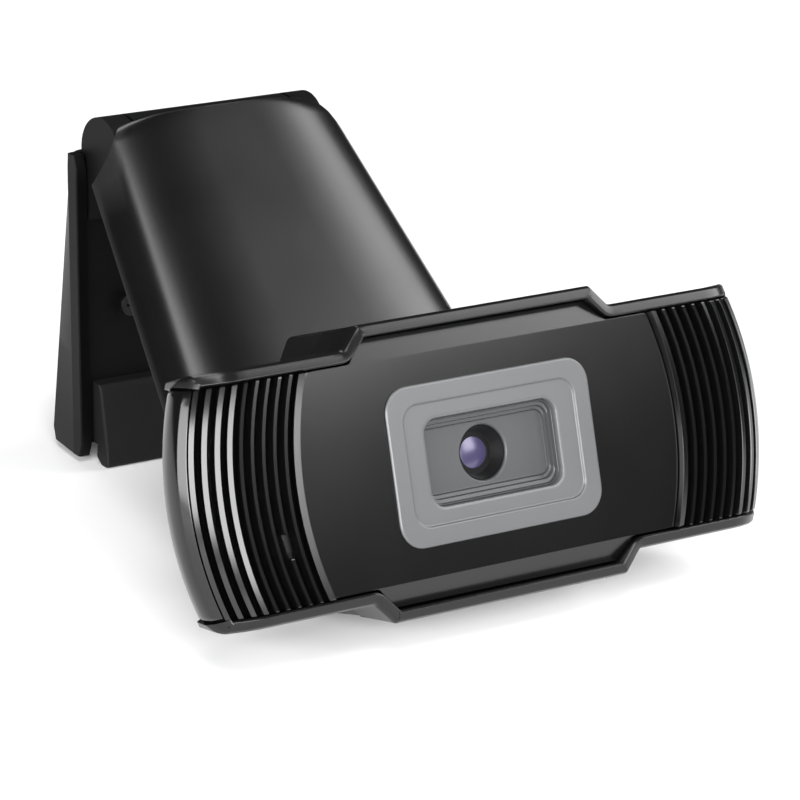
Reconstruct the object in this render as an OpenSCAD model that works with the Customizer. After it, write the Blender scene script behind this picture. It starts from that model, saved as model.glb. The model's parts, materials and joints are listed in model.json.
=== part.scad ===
// Clip-on webcam: a wide camera head on a tilt and swivel neck, carried by a folding monitor clip.
// The clip is an inverted V: a front arm that ends in a short jaw, and a rear leg hinged to it.
// Millimetres, +Z up, -Y is the way the camera looks, X across. The origin is below the middle of
// the object, on the plane that the front jaw and the rear pad stand on.

/* [Head] */
// Width of the camera head at mid height
head_w = 80; // [76:1:84]
// Height of the head at its shoulders
shoulder_h = 28.2; // [27:0.2:29]
// Height of the head at its middle tabs
tab_h = 33.2; // [32:0.2:34]
// Depth of the head
head_d = 16; // [15:0.5:18]
// Upward lean of the camera head at rest, in degrees
head_lean = 20; // [15:1:22]
// Thickness of the rim around the front panel
rim_t = 1.4; // [1.2:0.1:1.8]

/* [Ribbed ends] */
// Ribs on each end of the head
rib_count = 11; // [9:1:11]
// Distance from one rib to the next, along the surface
rib_pitch = 1.45; // [1.4:0.05:1.5]
// Thickness of one rib
rib_t = 0.7; // [0.5:0.05:0.9]

/* [Lens window] */
// Width of the bezel
bezel_w = 28; // [26:0.5:30]
// Height of the bezel
bezel_h = 18.1; // [17:0.1:19]
// Width of the window in the bezel
window_w = 18; // [17:0.5:19]
// Height of the window in the bezel
window_h = 9.8; // [9:0.1:10.5]
// Radius of the hole in front of the lens
lens_hole_r = 3.1; // [2.8:0.1:3.3]

/* [Clip arm] */
// Slope of the front arm at rest, in degrees
arm_slope = 39.5; // [38:0.5:41]
// Length of the arm from the hinge axis to its front edge
arm_len = 50.5; // [50:0.5:52]
// Half the width of the arm's flat top at the hinge
arm_half_w = 16.5; // [16:0.1:16.8]
// Growth of the arm's half width for each millimetre away from the hinge
arm_taper = 0.125; // [0.11:0.005:0.13]
// Height of the arm, from the bottom of its sides to its top face
arm_h = 5.5; // [5.3:0.1:5.7]

/* [Clip leg] */
// Half the width of the rear leg
leg_half_w = 16.5; // [16.2:0.1:16.6]
// Distance from the hinge axis down to the foot of the leg
leg_len = 39; // [38:0.5:40]
// Radius of the hinge barrel
barrel_r = 4.3; // [4.2:0.05:4.4]
// Radius of the hinge pin
pin_r = 1.25; // [1:0.05:1.5]

/* [Hidden] */
$fn = 64;
wall = 1.4;
run_gap = 0.05;
slit = 0.1;

// Hinge axis of the clip and tilt axis of the head, as [y, z] from the lens axis at the rim's front
hinge_at = [62.4, leg_len - 20.4];
foot_z = hinge_at[1] - leg_len;
leg_back = 6;
leg_lean = 0.035;
tilt_y = head_d + 4;
tilt_z = 6.5;
tilt_at = [
    tilt_y * cos(head_lean) + tilt_z * sin(head_lean),
    tilt_z * cos(head_lean) - tilt_y * sin(head_lean)
];

// The origin goes to the middle of the object's box and to its lowest plane
front_y = -tab_h / 2 * sin(head_lean);
back_y = hinge_at[0] + leg_back + leg_lean * (leg_len - 1.8);
shift_y = -(front_y + back_y) / 2;
shift_z = -foot_z;

// Outline of the head, seen from the front
end_r = 36;
shoulder_x = 18.45;
tab_x = 16.1;
corner_shift = 0.43;
plan_r = 5;
seam_y = 8;

// Front face
panel_y = 0.6;
panel_t = 1.6;
panel_edge = 25.8;
facet_z = 12.4;
facet_drop = 0.9;
chassis_y = 2.5;
chassis_t = 1.2;
chassis_half_w = 34;
bezel_y = 0.3;
bezel_step = 2.2;
tray_y = 2.4;
tray_floor_y = 2.8;
tray_back_y = 3.6;
rib_first = panel_edge + 0.7;
rib_depth = 2.4;
rib_floor = 1.1;

// Inside the head
barrel_front_y = 3.7;
barrel_back_y = 9.6;
board_y = 11.3;
board_t = 1;
board_back_y = board_y + board_t;
board_w = 44;
board_h = 19;
chip_at = [14.5, 2.5];
chip_w = 7;
chip_t = 0.9;
header_at = [-15, -2];
header_w = 7;
header_h = 3.2;
header_t = 1.8;
header_wall = 0.7;
back_wall_y = head_d - wall;
boss_r = 2.2;
mic_at = [-28.9, -5.8];
mic_r = 1.8;
mic_port_r = 0.6;
gland_at = [25, -3];
gland_r = 2.5;
lead_r = 1.7;
case_screws = [for (sx = [-1, 1], sz = [-1, 1]) [sx * 25.5, sz * 9.6]];
case_screw_r = 0.8;
case_seat_y = head_d - 2.2;
board_screws = [for (s = [-1, 1]) [s * 21, s * 6.5]];
board_screw_r = 0.7;
board_screw_y = 6.2;
bracket_screws = [for (s = [-1, 1]) [s * 8.4, tilt_z]];

// Neck
ear_r = 2.6;
ear_in = 3.2;
ear_out = 5.4;
bracket_t = 1.2;
tilt_pin_r = 1;
disc_r = 5.5;
disc_t = 1.5;
stud_r = 2;
swivel_screw_r = 0.9;

// Arm, in its own frame: origin on the hinge axis, +Y up the slope, +Z out of the top face
arm_top = 6.2;
arm_end = 0.9;
arm_foot = arm_top - arm_h;
arm_flare = 1.2;
arm_turn_r = 3;
shell_t = 1.5;
liner_lo = arm_foot + 0.2;
liner_t = 1.4;
knuckle_half = 11.2;
ear_gap = 0.4;
ear_end = 14.8;
neck_y = (tilt_at[0] - hinge_at[0]) * cos(arm_slope) + (tilt_at[1] - hinge_at[1]) * sin(arm_slope);
neck_z = (tilt_at[1] - hinge_at[1]) * cos(arm_slope) - (tilt_at[0] - hinge_at[0]) * sin(arm_slope);
arm_screws_at = [for (sx = [-1, 1], y = [-15, -36]) [sx * 13, y]];
arm_screw_r = 0.8;

// Front jaw, in the object's frame before the shift to the origin
jaw_y = 20.6;
jaw_t = 3;
jaw_half = 11;
jaw_pad_t = 1.4;

// Rear leg, from the hinge axis: the rim line of its inner side
rim_top = [2.7, -1.1];
rim_low = [-1.7, 0.8 - leg_len];
leg_screws_at = [for (s = [-1, 1]) [s * 9, -20]];
leg_screw_r = 0.8;

// ---- frames and helpers ----

module in_object() {
    translate([0, shift_y, shift_z]) children();
}

// Head frame: origin on the lens axis at the rim's front, +Y into the head
module in_head() {
    in_object() rotate([-head_lean, 0, 0]) children();
}

module in_arm() {
    in_object() translate([0, hinge_at[0], hinge_at[1]]) rotate([arm_slope, 0, 0]) children();
}

module in_leg() {
    in_object() translate([0, hinge_at[0], hinge_at[1]]) children();
}

// A shape drawn in X and Z, given a depth from y0 to y1
module slab(y0, y1) {
    rotate([90, 0, 0]) translate([0, 0, -y1]) linear_extrude(y1 - y0) children();
}

// A profile drawn in Y and Z, given a width along X
module across(w) {
    rotate([90, 0, 90]) linear_extrude(w, center = true) children();
}

module rod_y(r, y0, y1, r2 = -1) {
    translate([0, y1, 0]) rotate([90, 0, 0]) cylinder(r1 = r2 < 0 ? r : r2, r2 = r, h = y1 - y0);
}

module rod_x(r, x0, x1) {
    translate([x0, 0, 0]) rotate([0, 90, 0]) cylinder(r = r, h = x1 - x0);
}

module rounded(w, h, r) {
    square([w, h - 2 * r], center = true);
    square([w - 2 * r, h], center = true);
    for (sx = [-1, 1], sz = [-1, 1]) {
        translate([sx * (w / 2 - r), sz * (h / 2 - r)]) circle(r);
    }
}

module at_points(points) {
    for (p = points) {
        translate([p[0], 0, p[1]]) children();
    }
}

// ---- outline of the head ----

module shoulders(t) {
    for (s = [0, 1]) mirror([s, 0]) {
        intersection() {
            translate([head_w / 2 - end_r, 0]) circle(end_r - t, $fn = 128);
            translate([-1, t - shoulder_h / 2]) square([head_w, shoulder_h - 2 * t]);
        }
    }
}

module tabs(t) {
    sx = shoulder_x - corner_shift * t;
    tx = tab_x - corner_shift * t;
    sz = shoulder_h / 2 - t;
    tz = tab_h / 2 - t;
    polygon([[sx, sz], [tx, tz], [-tx, tz], [-sx, sz], [-sx, -sz], [-tx, -tz], [tx, -tz], [sx, -sz]]);
}

module outline(t) {
    shoulders(t);
    tabs(t);
}

// The ends of the rim turn back with a round of plan_r
module plan_limit() {
    end_x = head_w / 2 - 2.4;
    translate([0, 0, -tab_h]) linear_extrude(2 * tab_h) {
        translate([plan_r - end_x, 0]) square([2 * (end_x - plan_r), seam_y]);
        translate([-end_x, plan_r]) square([2 * end_x, seam_y - plan_r]);
        for (s = [-1, 1]) translate([s * (end_x - plan_r), plan_r]) circle(plan_r);
    }
}

// An arc with the curve of the head's ends, through x at mid height
module end_arc(x_in, x_out, half_h) {
    intersection() {
        difference() {
            translate([x_out - end_r, 0]) circle(end_r, $fn = 128);
            translate([x_in - end_r, 0]) circle(end_r, $fn = 128);
        }
        translate([10, -half_h]) square([head_w, 2 * half_h]);
    }
}

// ---- head ----

module front_frame() {
    color("#3a3b3d") in_head() difference() {
        union() {
            intersection() {
                slab(0, seam_y) difference() {
                    outline(0);
                    outline(rim_t);
                    translate([-head_w, rim_t - shoulder_h / 2]) square([2 * head_w, shoulder_h - 2 * rim_t]);
                }
                plan_limit();
            }
            slab(chassis_y, chassis_y + chassis_t) intersection() {
                outline(rim_t - 0.2);
                square([2 * chassis_half_w, tab_h], center = true);
            }
            at_points(case_screws) rod_y(boss_r, chassis_y + chassis_t, seam_y + 1);
            at_points(board_screws) rod_y(2, chassis_y + chassis_t, board_y - slit);
        }
        slab(0, head_d) square([23, 15], center = true);
        at_points([mic_at]) rod_y(mic_r + 0.2, 0, head_d);
        at_points(case_screws) rod_y(case_screw_r, chassis_y + 2, seam_y + 2);
        at_points(board_screws) rod_y(board_screw_r, board_screw_y - 0.2, board_back_y);
    }
}

module face_panel() {
    z_end = tab_h / 2 - rim_t - 0.2;
    color("#161618") in_head() difference() {
        intersection() {
            slab(0, 3) intersection() {
                outline(rim_t + 0.2);
                for (s = [0, 1]) mirror([s, 0]) {
                    intersection() {
                        translate([panel_edge - end_r, 0]) circle(end_r, $fn = 128);
                        translate([-1, -tab_h]) square([head_w, 2 * tab_h]);
                    }
                }
            }
            across(head_w) polygon([
                [panel_y, -facet_z], [panel_y, facet_z], [panel_y + facet_drop, z_end],
                [panel_y + panel_t, z_end], [panel_y + panel_t, -z_end], [panel_y + facet_drop, -z_end]
            ]);
        }
        slab(-1, 4) rounded(bezel_w - 1.4, bezel_h - 1.4, 2.3);
    }
}

// Place of rib k in plan, as [x, y]: along the flat front, then round the end
function rib_place(k) =
    let (s = rib_first + k * rib_pitch, flat_end = head_w / 2 - plan_r)
    s < flat_end ? [s, 0] :
    let (a = (s - flat_end) / plan_r * 180 / PI) [flat_end + plan_r * sin(a), plan_r * (1 - cos(a))];

module rib_grille() {
    rib_half_h = shoulder_h / 2 - rim_t - slit;
    for (k = [0:rib_count - 2]) {
        p = rib_place(k);
        q = rib_place(k + 1);
        wide = k == 0 ? 0.6 : rib_t / 2;
        slab(p[1], p[1] + rib_depth) end_arc(p[0] - wide, p[0] + rib_t / 2, rib_half_h);
        slab(p[1] + rib_floor, p[1] + rib_depth) end_arc(p[0], q[0], rib_half_h);
    }
    last = rib_place(rib_count - 1);
    slab(last[1] - 0.5, seam_y) end_arc(last[0] - rib_t, head_w / 2, rib_half_h);
}

// The microphone listens through a notch in one rib of the left end
module rib_grille_left() {
    color("#232427") in_head() difference() {
        mirror([1, 0, 0]) rib_grille();
        at_points([mic_at]) slab(-1, rib_floor) rounded(2, 4.4, 0.95);
        at_points([mic_at]) rod_y(mic_port_r, 0, rib_depth + 1);
    }
}

module rib_grille_right() {
    color("#232427") in_head() rib_grille();
}

module lens_bezel() {
    color("#b9bcc0") in_head() difference() {
        union() {
            slab(bezel_y, panel_y) rounded(bezel_w, bezel_h, 3);
            slab(panel_y, tray_y) rounded(bezel_w - 1.6, bezel_h - 1.6, 2.2);
        }
        slab(-1, bezel_y + 0.2) rounded(bezel_w - 2 * bezel_step, bezel_h - 2 * bezel_step, 2);
        slab(-1, 4) rounded(window_w, window_h, 1.7);
    }
}

module lens_tray() {
    color("#8c8f93") in_head() difference() {
        slab(tray_y, tray_back_y) rounded(window_w + 3, window_h + 3, 2);
        slab(-1, tray_floor_y) rounded(window_w - 0.8, window_h - 0.8, 1.3);
        rod_y(lens_hole_r, 0, 5);
        rod_y(lens_hole_r + 0.5, tray_floor_y - 0.01, tray_floor_y + 0.5, lens_hole_r);
    }
}

module lens_barrel() {
    color("#101012") in_head() difference() {
        rod_y(3.9, barrel_front_y, barrel_back_y);
        rod_y(3.05, barrel_front_y - 0.1, 4.9, 1.9);
        rod_y(1.7, 4, 6);
        rod_y(3, 5.2, 20);
    }
}

// A round glass with one curved face; its curve has the given radius
module glass(r, y0, y1, curve) {
    intersection() {
        rod_y(r, y0, y1);
        translate([0, y0 + curve, 0]) sphere(curve, $fn = 96);
    }
}

module front_lens() {
    color("#4a3f7a") in_head() glass(2.95, 5.25, 6.7, 4);
}

module rear_lens() {
    color("#5a6a8a") in_head() glass(2.95, 7.4, 8.8, 6);
}

module lens_holder() {
    color("#1c1c1f") in_head() difference() {
        union() {
            rod_y(5, 6.4, 9.8);
            slab(9.7, board_y) rounded(10, 10, 1);
        }
        rod_y(3.95, 0, barrel_back_y + 0.1);
        slab(9.7 - slit, 20) square(6.2, center = true);
    }
}

module ir_filter() {
    color("#7fb0c8") in_head() slab(9.75, 10.1) square(6, center = true);
}

module image_sensor() {
    color("#3b4650") in_head() slab(10.4, board_y) square(5.4, center = true);
}

module circuit_board() {
    color("#1f5a34") in_head() difference() {
        slab(board_y, board_back_y) rounded(board_w, board_h, 1.5);
        at_points(board_screws) rod_y(0.9, 0, head_d);
    }
}

module controller_chip() {
    color("#18181a") in_head() translate([chip_at[0], 0, chip_at[1]]) {
        slab(board_back_y, board_back_y + chip_t) square(chip_w, center = true);
    }
}

module wire_header() {
    color("#d8d4c6") in_head() translate([header_at[0], 0, header_at[1]]) {
        slab(board_back_y, board_back_y + header_t) difference() {
            square([header_w, header_h], center = true);
            square([header_w - 2 * header_wall, header_h - 2 * header_wall], center = true);
        }
    }
}

module microphone() {
    color("#9a9da2") in_head() at_points([mic_at]) rod_y(mic_r, rib_depth + slit, 5.4);
}

// A pan-head screw along Y with a cross slot: head from y_head to y_seat, shaft down to y_point
module screw_y(y_head, y_seat, y_point, r_head, r_shaft) {
    difference() {
        union() {
            rod_y(r_head, y_seat, y_head);
            rod_y(r_shaft, y_point, y_seat + 0.1);
        }
        for (a = [0, 90]) {
            rotate([0, a, 0]) translate([0, y_head, 0]) cube([r_head, 0.7, r_head / 4], center = true);
        }
    }
}

module board_screws() {
    color("#b8babd") in_head() at_points(board_screws) {
        screw_y(board_back_y + 0.8, board_back_y, board_screw_y, 1.5, board_screw_r);
    }
}

// The back of the case, drawn in slices; t is how far a face lies inside the outer one
module case_body(t, front) {
    hull() {
        slab(front, front + 0.02) shoulders(0.55 + t);
        slab(11, 11.02) shoulders_narrow(0.7 + t, 2.2);
        slab(head_d - 1.5 - t, head_d - 1.48 - t) shoulders_narrow(1 + t, 4.2);
        slab(head_d - 0.02 - t, head_d - t) shoulders_narrow(2.2 + t, 5.2);
    }
    hull() {
        slab(front, front + 0.02) tabs(0.55 + t);
        slab(head_d - 1.9 - t, head_d - 1.88 - t) tabs(1.2 + t);
        slab(head_d - 1 - t, head_d - 0.98 - t) tabs(2 + t);
    }
}

module shoulders_narrow(t, less) {
    for (s = [0, 1]) mirror([s, 0]) {
        intersection() {
            translate([head_w / 2 - end_r - less, 0]) circle(end_r - t, $fn = 128);
            translate([-1, t - shoulder_h / 2]) square([head_w, shoulder_h - 2 * t]);
        }
    }
}

module rear_shell() {
    color("#1d1e20") in_head() difference() {
        union() {
            difference() {
                case_body(0, seam_y + slit);
                case_body(wall, seam_y - 1);
            }
            at_points(case_screws) rod_y(boss_r, seam_y + 1 + slit, back_wall_y + 0.2);
            at_points(bracket_screws) rod_y(1.8, board_back_y + 0.4, back_wall_y + 0.2);
        }
        at_points(case_screws) rod_y(1, 0, 30);
        at_points(case_screws) rod_y(2, case_seat_y, 30);
        at_points(bracket_screws) rod_y(0.7, 0, 30);
        at_points([gland_at]) rod_y(gland_r + slit, back_wall_y - 1, 30);
    }
}

module case_screws() {
    color("#4b4d50") in_head() at_points(case_screws) {
        screw_y(case_seat_y + 1.2, case_seat_y, chassis_y + 2.2, 1.8, case_screw_r);
    }
}

// Rubber inlet of the lead: a flange outside the case and a smaller one inside
module cable_gland() {
    color("#141415") in_head() at_points([gland_at]) difference() {
        union() {
            rod_y(3.4, head_d + run_gap, head_d + 1);
            rod_y(gland_r, back_wall_y - 0.1, head_d + 0.5);
            rod_y(3.2, back_wall_y - 0.8, back_wall_y - run_gap);
        }
        rod_y(lead_r, 0, 30);
    }
}

module tilt_bracket() {
    color("#1d1e20") in_head() difference() {
        union() {
            translate([0, 0, tilt_z]) slab(head_d, head_d + bracket_t) rounded(22, 8, 2);
            for (s = [0, 1]) mirror([s, 0, 0]) {
                translate([0, tilt_y, tilt_z]) rod_x(ear_r, ear_in, ear_out);
                translate([ear_in, head_d + 0.2, tilt_z - ear_r]) {
                    cube([ear_out - ear_in, tilt_y - head_d - 0.2, 2 * ear_r]);
                }
            }
        }
        translate([0, tilt_y, tilt_z]) rod_x(tilt_pin_r, -10, 10);
        at_points(bracket_screws) rod_y(0.8, 0, 30);
    }
}

module bracket_screws() {
    color("#b8babd") in_head() at_points(bracket_screws) {
        screw_y(head_d + bracket_t + 0.8, head_d + bracket_t, board_back_y + 0.8, 1.4, 0.7);
    }
}

module tilt_pin() {
    color("#c4c6c9") in_head() translate([0, tilt_y, tilt_z]) rod_x(tilt_pin_r, -ear_out, ear_out);
}

// ---- neck ----

// Disc on the arm, with a stem that stands between the ears of the bracket
module swivel_neck() {
    half = ear_in - 0.15;
    stem_r = ear_r - 0.2;
    color("#17181a") in_arm() translate([0, neck_y, 0]) difference() {
        union() {
            translate([0, 0, arm_top + run_gap]) cylinder(r = disc_r, h = disc_t);
            translate([0, 0, neck_z]) rod_x(stem_r, -half, half);
            translate([-half, -stem_r, arm_top + 1]) cube([2 * half, 2 * stem_r, neck_z - arm_top - 1]);
            translate([0, 0, arm_top - shell_t - 0.55]) cylinder(r = stud_r, h = shell_t + 1);
        }
        translate([0, 0, neck_z]) rod_x(tilt_pin_r + run_gap, -10, 10);
        translate([0, 0, arm_top - 5]) cylinder(r = swivel_screw_r, h = 6);
    }
}

module swivel_washer() {
    color("#c4c6c9") in_arm() translate([0, neck_y, arm_top - shell_t - 0.5]) difference() {
        cylinder(r = 4.2, h = 0.45);
        translate([0, 0, -1]) cylinder(r = stud_r + run_gap, h = 3);
    }
}

module swivel_screw() {
    seat = arm_top - shell_t - 0.55;
    color("#b8babd") in_arm() translate([0, neck_y, 0]) difference() {
        union() {
            translate([0, 0, seat - 1.2]) cylinder(r = 3.2, h = 1.2);
            translate([0, 0, seat - 0.1]) cylinder(r = swivel_screw_r, h = 2.5);
        }
        for (a = [0, 90]) {
            rotate([0, 0, a]) translate([0, 0, seat - 1.2]) cube([3, 0.6, 1], center = true);
        }
    }
}

// ---- arm ----

// Cross-section of the arm at one place along it; t is how far a face lies inside the outer one
module arm_slice(y, t, low) {
    half = arm_half_w - y * arm_taper;
    top = arm_top - t;
    translate([0, y, 0]) rotate([90, 0, 0]) linear_extrude(0.02) {
        translate([t - half - arm_flare, low]) square([2 * (half + arm_flare - t), 0.1]);
        for (s = [-1, 1]) {
            translate([s * (half - arm_turn_r), top - arm_turn_r + t]) circle(arm_turn_r - t, $fn = 32);
        }
    }
}

// Plan of the arm; less is how far its front edge is set back, and back how far its rear edge goes out
module arm_plan(less, back) {
    rear = arm_half_w + arm_flare;
    front = rear + arm_len * arm_taper;
    rear_y = arm_end + back;
    linear_extrude(20, center = true) {
        polygon([
            [rear + 1, rear_y - 2.5], [rear - 2.5, rear_y], [2.5 - rear, rear_y], [-rear - 1, rear_y - 2.5],
            [-front - 1, 8 - arm_len], [8 - front, less - arm_len], [front - 8, less - arm_len],
            [front + 1, 8 - arm_len]
        ]);
        for (s = [-1, 1]) {
            translate([s * (rear - 2.4), rear_y - 2.5]) circle(2.5);
            translate([s * (front - 8), 8 - arm_len + less]) circle(8 - less);
        }
    }
}

module arm_shell() {
    color("#242528") in_arm() difference() {
        union() {
            intersection() {
                difference() {
                    hull() {
                        arm_slice(arm_end, 0, arm_foot);
                        arm_slice(-arm_len, 0, arm_foot);
                    }
                    intersection() {
                        hull() {
                            arm_slice(arm_end + 2, shell_t, arm_foot - 1);
                            arm_slice(-arm_len, shell_t, arm_foot - 1);
                        }
                        arm_plan(shell_t, 5);
                    }
                }
                arm_plan(0, 0);
            }
            for (p = arm_screws_at) translate([p[0], p[1], liner_lo + liner_t + slit]) {
                cylinder(r = 2, h = arm_top - liner_lo - liner_t - 1);
            }
        }
        rod_x(barrel_r + 0.3, -30, 30);
        translate([0, neck_y, 0]) cylinder(r = stud_r + run_gap, h = 20);
        translate([-jaw_half - slit, -arm_len - 1, -1]) {
            cube([2 * (jaw_half + slit), 3.5, arm_top - shell_t + 1]);
        }
        for (p = arm_screws_at) translate([p[0], p[1], 0]) cylinder(r = arm_screw_r, h = arm_top - 1);
    }
}

// Black cover of the arm's underside, with the middle knuckle of the hinge and the front jaw
module arm_liner() {
    rear = arm_half_w - 0.9;
    front = rear + (arm_len - 15) * arm_taper;
    web_half = knuckle_half - 0.3;
    lip_half = jaw_half - 0.3;
    join_z = liner_lo + 0.2;
    back_y = jaw_y + jaw_t;
    color("#111113") difference() {
        union() {
            in_arm() {
                translate([0, 0, liner_lo]) linear_extrude(liner_t) polygon([
                    [rear, -6], [front, 9 - arm_len], [front - 7, 2.5 - arm_len],
                    [7 - front, 2.5 - arm_len], [-front, 9 - arm_len], [-rear, -6]
                ]);
                rod_x(barrel_r, -knuckle_half, knuckle_half);
                translate([-web_half, -9, join_z]) {
                    cube([2 * web_half, 8.4, arm_top - shell_t - slit - join_z]);
                }
                translate([-lip_half, -arm_len, join_z]) cube([2 * lip_half, 5, liner_t + 0.2]);
            }
            in_object() across(2 * jaw_half) polygon([
                [jaw_y, foot_z + 0.6], [jaw_y + 0.6, foot_z], [back_y, foot_z], [back_y, foot_z + 8],
                [back_y + 1.6, foot_z + 10], [jaw_y + 1.4, foot_z + 9.6], [jaw_y, foot_z + 7.6]
            ]);
        }
        in_arm() rod_x(pin_r, -20, 20);
        in_arm() for (p = arm_screws_at) translate([p[0], p[1], liner_lo - 1]) {
            cylinder(r = arm_screw_r + 0.2, h = 5);
            cylinder(r = 1.8, h = 1.8);
        }
    }
}

module arm_screws() {
    color("#b8babd") in_arm() for (p = arm_screws_at) translate([p[0], p[1], liner_lo]) difference() {
        union() {
            cylinder(r = 1.6, h = 0.75);
            cylinder(r = arm_screw_r, h = 4);
        }
        for (a = [0, 90]) rotate([0, 0, a]) cube([1.8, 0.45, 0.8], center = true);
    }
}

module jaw_pad() {
    color("#0d0d0e") in_object() across(2 * jaw_half - 2) polygon([
        [jaw_y + jaw_t, foot_z + 0.5], [jaw_y + jaw_t + jaw_pad_t, foot_z + 0.9],
        [jaw_y + jaw_t + jaw_pad_t, foot_z + 6.6], [jaw_y + jaw_t, foot_z + 7]
    ]);
}

module hinge_pin() {
    color("#c4c6c9") in_arm() rod_x(pin_r, 1 - ear_end, ear_end - 1);
}

module hinge_washers() {
    color("#c4c6c9") in_arm() for (s = [0, 1]) mirror([s, 0, 0]) difference() {
        rod_x(3.4, knuckle_half + run_gap, knuckle_half + ear_gap - run_gap);
        rod_x(pin_r + run_gap, 5, 20);
    }
}

// ---- rear leg ----

// Back face of the leg, which leans away from the hinge axis towards the foot
function spine_y(z) = leg_back - z * leg_lean;

function rim_y(z) = rim_top[0] + (z - rim_top[1]) * (rim_low[0] - rim_top[0]) / (rim_low[1] - rim_top[1]);

module leg_shell() {
    bottom = rim_low[1];
    color("#2a2b2e") in_leg() difference() {
        union() {
            difference() {
                across(2 * leg_half_w) polygon([
                    rim_top, rim_low, [spine_y(bottom) - 0.6, bottom - 0.2],
                    [spine_y(bottom + 1), bottom + 1], [spine_y(-3), -3], [leg_back - 0.7, rim_top[1]]
                ]);
                across(2 * leg_half_w - 2 * wall) polygon([
                    [-9, 1], [rim_y(bottom) - 9, bottom + wall],
                    [spine_y(bottom + wall) - wall, bottom + wall], [spine_y(-3.5) - wall, -3.5],
                    [leg_back - wall - 0.3, 1]
                ]);
            }
            for (p = leg_screws_at) translate([p[0], 0, p[1]]) {
                rod_y(1.8, rim_y(p[1]) + 2.4, spine_y(p[1]) - 1);
            }
        }
        rod_x(barrel_r + 0.15, -ear_end - 0.2, ear_end + 0.2);
        for (p = leg_screws_at) translate([p[0], 0, p[1]]) rod_y(leg_screw_r, -5, spine_y(p[1]) - 0.9);
    }
}

// Inner plate of the leg, with the two outer knuckles of the hinge
module leg_liner() {
    half = leg_half_w - wall - slit;
    ear_in_x = knuckle_half + ear_gap;
    top = -5.4;
    bottom = rim_low[1] + wall + slit;
    back = leg_back - wall - slit;
    color("#111113") in_leg() difference() {
        union() {
            across(2 * half) polygon([
                [rim_y(top) + 0.8, top], [rim_y(bottom) + 0.8, bottom],
                [rim_y(bottom) + 2, bottom], [rim_y(top) + 2, top]
            ]);
            for (s = [0, 1]) mirror([s, 0, 0]) {
                rod_x(barrel_r, ear_in_x, ear_end);
                translate([(ear_in_x + ear_end) / 2, 0, 0]) across(ear_end - ear_in_x) {
                    polygon([[0, 0], [rim_y(-9) + 0.2, -9], [back, -9], [back, -3.4], [back - 0.1, -2.4]]);
                }
            }
        }
        rod_x(pin_r + run_gap, 0.9 - ear_end, ear_end - 0.9);
        rod_x(barrel_r + 0.2, -ear_in_x, ear_in_x);
        for (p = leg_screws_at) translate([p[0], 0, p[1]]) rod_y(1, -5, 5);
    }
}

// Rubber pad that presses on the back of the monitor, with a lip at its lower edge
module leg_pad() {
    top = 10 - leg_len;
    low_y = rim_y(1.4 - leg_len);
    step_z = rim_low[1] + wall + slit;
    color("#0d0d0e") in_leg() across(2 * (leg_half_w - 2)) polygon([
        [rim_y(top) + 0.8, top], [low_y + 0.8, step_z], [low_y - 0.1, step_z],
        [low_y - 0.1, rim_low[1] - 0.1], [low_y - 1.2, -leg_len], [-4.1, -leg_len], [-4.5, 0.4 - leg_len], [-4.2, 2 - leg_len],
        [rim_y(top) - 1.4, top - 0.6], [rim_y(top) - 1, top]
    ]);
}

module leg_screws() {
    color("#b8babd") in_leg() for (p = leg_screws_at) translate([p[0], 0, p[1]]) difference() {
        union() {
            rod_y(1.5, rim_y(p[1]) - 0.15, rim_y(p[1]) + 0.55);
            rod_y(leg_screw_r, rim_y(p[1]) + 0.4, spine_y(p[1]) - 1);
        }
        for (a = [0, 90]) {
            rotate([0, a, 0]) translate([0, rim_y(p[1]) - 0.15, 0]) cube([1.6, 0.8, 0.4], center = true);
        }
    }
}

front_frame();
face_panel();
rib_grille_left();
rib_grille_right();
lens_bezel();
lens_tray();
lens_barrel();
front_lens();
rear_lens();
lens_holder();
ir_filter();
image_sensor();
circuit_board();
controller_chip();
wire_header();
microphone();
board_screws();
rear_shell();
case_screws();
cable_gland();
tilt_bracket();
bracket_screws();
tilt_pin();
swivel_neck();
swivel_washer();
swivel_screw();
arm_shell();
arm_liner();
arm_screws();
jaw_pad();
hinge_pin();
hinge_washers();
leg_shell();
leg_liner();
leg_pad();
leg_screws();
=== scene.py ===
"""Looks of a clip-on webcam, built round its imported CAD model. Metres, the row's frame."""

import json
import math

import bmesh
import bpy
from mathutils import Matrix, Vector
from mathutils.geometry import delaunay_2d_cdt


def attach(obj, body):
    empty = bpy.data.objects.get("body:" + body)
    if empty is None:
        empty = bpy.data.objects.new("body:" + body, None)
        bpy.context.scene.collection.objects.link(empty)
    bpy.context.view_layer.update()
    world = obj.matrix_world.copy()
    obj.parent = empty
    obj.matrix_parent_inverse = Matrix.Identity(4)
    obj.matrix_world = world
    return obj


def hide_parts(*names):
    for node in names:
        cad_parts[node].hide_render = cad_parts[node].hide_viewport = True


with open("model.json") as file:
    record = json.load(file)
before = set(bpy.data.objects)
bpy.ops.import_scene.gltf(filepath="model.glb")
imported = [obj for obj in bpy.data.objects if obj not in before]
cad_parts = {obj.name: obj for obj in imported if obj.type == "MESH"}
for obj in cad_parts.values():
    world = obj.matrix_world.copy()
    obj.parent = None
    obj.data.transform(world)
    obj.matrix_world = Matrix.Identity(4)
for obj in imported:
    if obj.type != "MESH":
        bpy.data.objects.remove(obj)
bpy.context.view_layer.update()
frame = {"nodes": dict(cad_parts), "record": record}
record = frame["record"]
joints = {j["name"]: j for j in record["behaviour"]["joints"]}
body_of_node = {n: b for b, nodes in record["behaviour"]["bodies"].items() for n in nodes}
slots = {s["node"]: s["material_slot"] for s in record["subparts"]}

# ---- frames: head (x across, y into the head, z up its face), arm (y up the slope) and leg ----

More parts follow.
